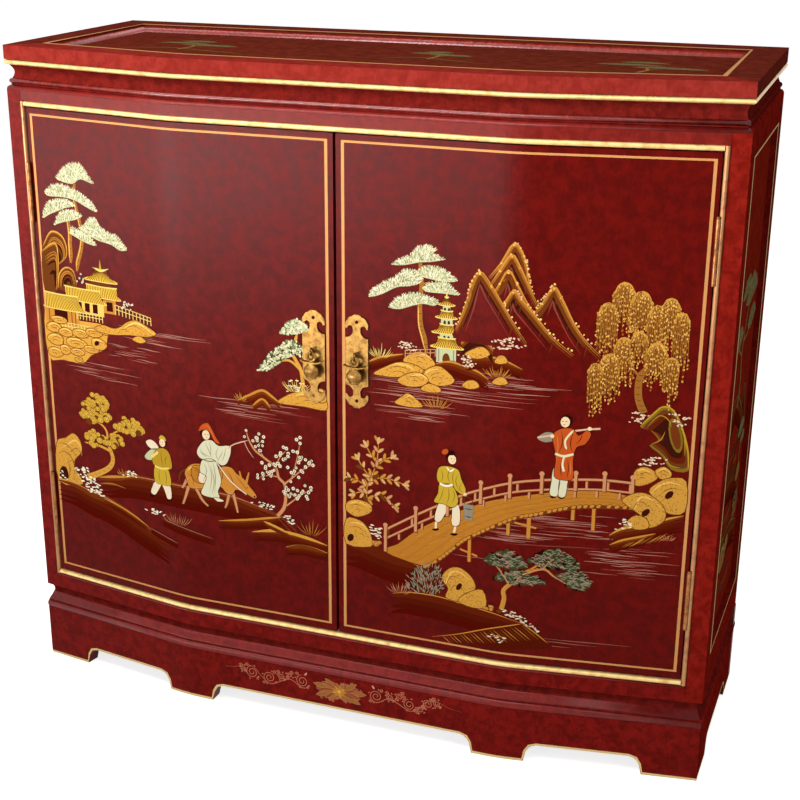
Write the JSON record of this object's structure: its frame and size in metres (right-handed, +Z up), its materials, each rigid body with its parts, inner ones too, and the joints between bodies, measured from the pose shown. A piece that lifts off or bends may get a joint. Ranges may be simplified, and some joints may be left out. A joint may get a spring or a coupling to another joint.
{
  "type": "slant-front cabinet",
  "caption": "Low lacquered cabinet with a canted front, bent double doors on butt hinges, drop pulls, a sunk framed top, a grooved waist and bracket feet.",
  "frame": {"origin": "on the floor, under the middle of the whole cabinet, drop pulls included", "axes": "+X to the right across the front, +Y to the back, +Z up; the front faces -Y"},
  "size_m": [0.9146, 0.3498, 0.8317],
  "materials": {
    "red_lacquer": "red-brown mottled gloss lacquer on wood",
    "gilding": "gold paint on wooden beads",
    "brass": "aged brass",
    "stained_wood": "stained wood, satin"
  },
  "bodies": {
    "carcass": {"back_panel": "stained_wood", "base_back": "stained_wood", "base_deck": "red_lacquer", "base_front_left": "red_lacquer", "base_front_middle": "red_lacquer", "base_front_right": "red_lacquer", "base_left": "red_lacquer", "base_right": "red_lacquer", "bottom_opening_bead": "gilding", "case_floor": "stained_wood", "door_stop": "stained_wood", "front_bottom_rail": "red_lacquer", "front_top_rail": "red_lacquer", "left_back_post": "red_lacquer", "left_corner_post": "red_lacquer", "left_lower_hinge_frame_leaf": "brass", "left_lower_hinge_pin": "brass", "left_opening_bead": "gilding", "left_shelf_cleat": "stained_wood", "left_side_bottom_rail": "red_lacquer", "left_side_panel": "red_lacquer", "left_side_top_rail": "red_lacquer", "left_upper_hinge_frame_leaf": "brass", "left_upper_hinge_pin": "brass", "right_back_post": "red_lacquer", "right_corner_post": "red_lacquer", "right_lower_hinge_frame_leaf": "brass", "right_lower_hinge_pin": "brass", "right_opening_bead": "gilding", "right_shelf_cleat": "stained_wood", "right_side_bottom_rail": "red_lacquer", "right_side_panel": "red_lacquer", "right_side_top_rail": "red_lacquer", "right_upper_hinge_frame_leaf": "brass", "right_upper_hinge_pin": "brass", "shelf": "stained_wood", "top_bead_front": "gilding", "top_bead_left": "gilding", "top_bead_right": "gilding", "top_opening_bead": "gilding", "top_panel": "red_lacquer", "top_rail_back": "red_lacquer", "top_rail_front": "red_lacquer", "top_rail_left": "red_lacquer", "top_rail_right": "red_lacquer", "waist_board": "red_lacquer"},
    "left_door": {"left_door": "red_lacquer", "left_upper_hinge_door_leaf": "brass", "left_lower_hinge_door_leaf": "brass", "left_pull_plate": "brass", "left_pull_staple": "brass"},
    "right_door": {"right_door": "red_lacquer", "right_upper_hinge_door_leaf": "brass", "right_lower_hinge_door_leaf": "brass", "right_pull_plate": "brass", "right_pull_staple": "brass"},
    "left_pull": {"left_drop_pull": "brass"},
    "right_pull": {"right_drop_pull": "brass"}
  },
  "joints": [
    {"name": "left_door_hinge", "type": "hinge", "parent": "carcass", "child": "left_door", "pos_m": [-0.42907, -0.12617, 0.44745], "axis": [0, 0, -1], "range_deg": [0, 150]},
    {"name": "left_pull_swing", "type": "hinge", "parent": "left_door", "child": "left_pull", "pos_m": [-0.0276, -0.1689, 0.5022], "axis": [-1, 0, 0], "range_deg": [0, 90]},
    {"name": "right_door_hinge", "type": "hinge", "parent": "carcass", "child": "right_door", "pos_m": [0.42907, -0.12617, 0.44745], "axis": [0, 0, 1], "range_deg": [0, 150]},
    {"name": "right_pull_swing", "type": "hinge", "parent": "right_door", "child": "right_pull", "pos_m": [0.0276, -0.1689, 0.5022], "axis": [-1, 0, 0], "range_deg": [0, 90]}
  ]
}
